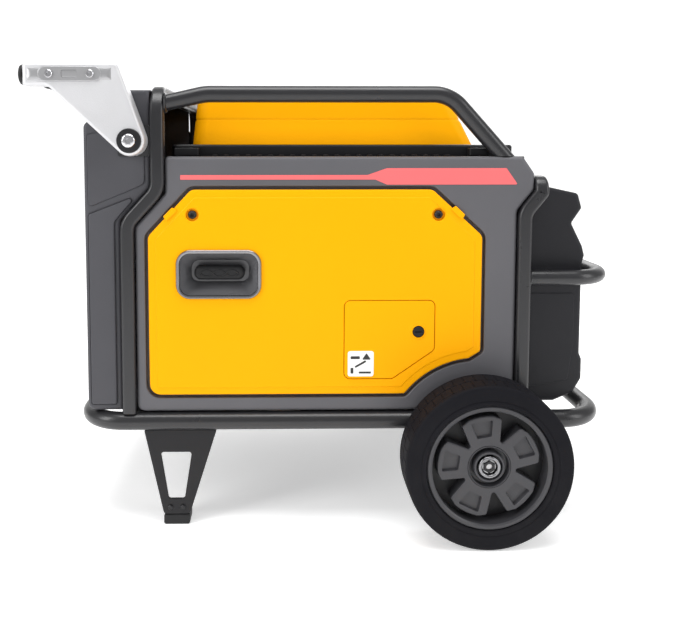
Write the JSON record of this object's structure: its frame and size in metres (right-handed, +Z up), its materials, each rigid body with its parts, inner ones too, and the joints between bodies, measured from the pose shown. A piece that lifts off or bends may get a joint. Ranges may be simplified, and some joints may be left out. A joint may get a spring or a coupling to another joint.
{
  "type": "portable generator",
  "caption": "Inverter generator in a tube frame with a pull starter, two wheels, rubber feet and a folding tow handle.",
  "frame": {"origin": "on the ground, under the middle of the whole machine's outline", "axes": "+X from the tow handle to the wheels, -Y towards the side with the pull starter, +Z up"},
  "size_m": [0.9204, 0.71, 0.7255],
  "materials": {
    "yellow_moulding": "fine-grained satin moulding",
    "grey_moulding": "fine-grained satin moulding",
    "black_moulding": "satin moulding",
    "powder_coat": "satin powder coat",
    "tyre_rubber": "matt moulded rubber",
    "soft_rubber": "matt rubber",
    "chrome_trim": "satin chrome",
    "cast_aluminium": "bead-blasted casting",
    "plain_steel": "plated steel",
    "dark_screw": "black oxide",
    "winding": "enamelled copper"
  },
  "bodies": {
    "frame": {"service_door": "yellow_moulding", "far_panel": "yellow_moulding", "tank_cover": "yellow_moulding", "fascia_near": "grey_moulding", "fascia_far": "grey_moulding", "left_cover": "grey_moulding", "right_cover": "grey_moulding", "top_deck": "black_moulding", "starter_cup": "black_moulding", "control_panel": "black_moulding", "fuel_tank": "black_moulding", "battery": "black_moulding", "base_loop": "powder_coat", "left_hoop": "powder_coat", "right_hoop": "powder_coat", "roll_bar_near": "powder_coat", "roll_bar_far": "powder_coat", "end_bumper": "powder_coat", "floor_pan": "powder_coat", "axle_bracket_near": "powder_coat", "axle_bracket_far": "powder_coat", "foot_bracket_near": "powder_coat", "foot_bracket_far": "powder_coat", "pivot_lug_near": "powder_coat", "pivot_lug_far": "powder_coat", "foot_pad_near": "soft_rubber", "foot_pad_far": "soft_rubber", "starter_bezel": "chrome_trim", "axle_nut_near": "chrome_trim", "axle_nut_far": "chrome_trim", "engine_block": "cast_aluminium", "inverter_module": "cast_aluminium", "axle": "plain_steel", "muffler": "plain_steel", "pivot_bolt_near": "plain_steel", "pivot_bolt_far": "plain_steel", "door_screw_left": "dark_screw", "door_screw_right": "dark_screw", "stator": "winding"},
    "wheel_near": {"tyre_near": "tyre_rubber", "rim_near": "black_moulding"},
    "wheel_far": {"tyre_far": "tyre_rubber", "rim_far": "black_moulding"},
    "tow_handle": {"arm_near": "cast_aluminium", "arm_far": "cast_aluminium", "handle_crossbar": "plain_steel", "handle_grip": "soft_rubber", "arm_cap_near": "soft_rubber", "arm_cap_far": "soft_rubber"},
    "oil_hatch": {"oil_hatch": "yellow_moulding"},
    "hatch_lock": {"hatch_lock": "black_moulding"},
    "starter_pull": {"starter_grip": "soft_rubber", "starter_rope": "soft_rubber"},
    "rope_reel": {"recoil_reel": "black_moulding"},
    "alternator_rotor": {"rotor": "plain_steel"},
    "fuel_cap": {"fuel_cap": "black_moulding"},
    "engine_dial": {"engine_dial": "black_moulding"},
    "eco_switch": {"eco_switch": "black_moulding"},
    "socket_lid": {"socket_lid": "black_moulding"},
    "breaker_button": {"breaker_button": "black_moulding"}
  },
  "joints": [
    {"name": "wheel_near_spin", "type": "hinge", "parent": "frame", "child": "wheel_near", "pos_m": [0.238, -0.323, 0.1257], "axis": [0, 1, 0], "continuous": true},
    {"name": "wheel_far_spin", "type": "hinge", "parent": "frame", "child": "wheel_far", "pos_m": [0.238, 0.323, 0.1257], "axis": [0, 1, 0], "continuous": true},
    {"name": "tow_handle_fold", "type": "hinge", "parent": "frame", "child": "tow_handle", "pos_m": [-0.2973, 0, 0.61], "axis": [0, -1, 0], "range_deg": [0, 85]},
    {"name": "oil_hatch_open", "type": "hinge", "parent": "frame", "child": "oil_hatch", "pos_m": [0.0275, -0.2761, 0.3001], "axis": [0, 0, -1], "range_deg": [0, 110]},
    {"name": "hatch_lock_turn", "type": "hinge", "parent": "oil_hatch", "child": "hatch_lock", "pos_m": [0.1429, -0.2761, 0.3131], "axis": [0, -1, 0], "range_deg": [0, 90]},
    {"name": "starter_pull_out", "type": "slide", "parent": "frame", "child": "starter_pull", "axis": [0, -1, 0], "range_m": [0, 0.35], "stiffness_N_per_m": 25},
    {"name": "rope_reel_turn", "type": "hinge", "parent": "frame", "child": "rope_reel", "pos_m": [0.0472, -0.2, 0.3], "axis": [0, 1, 0], "range_deg": [0, 420]},
    {"name": "alternator_spin", "type": "hinge", "parent": "frame", "child": "alternator_rotor", "pos_m": [0.0472, -0.15, 0.3], "axis": [0, 1, 0], "continuous": true},
    {"name": "fuel_cap_turn", "type": "hinge", "parent": "frame", "child": "fuel_cap", "pos_m": [-0.0088, 0, 0.661], "axis": [0, 0, -1], "range_deg": [0, 90]},
    {"name": "engine_dial_turn", "type": "hinge", "parent": "frame", "child": "engine_dial", "pos_m": [-0.3728, -0.1, 0.415], "axis": [-1, 0, 0], "range_deg": [0, 90]},
    {"name": "eco_switch_rock", "type": "hinge", "parent": "frame", "child": "eco_switch", "pos_m": [-0.3709, -0.1, 0.33], "axis": [0, 1, 0], "range_deg": [-8, 8]},
    {"name": "socket_lid_lift", "type": "hinge", "parent": "frame", "child": "socket_lid", "pos_m": [-0.3783, 0.01, 0.395], "axis": [0, 1, 0], "range_deg": [0, 100], "stiffness_Nm_per_rad": 0.02},
    {"name": "breaker_push", "type": "slide", "parent": "frame", "child": "breaker_button", "axis": [1, 0, 0], "range_m": [0, 0.003], "stiffness_N_per_m": 200}
  ],
  "couplings": [
    {"joint": "rope_reel_turn", "follows": "starter_pull_out", "rad_per_m": 20}
  ]
}
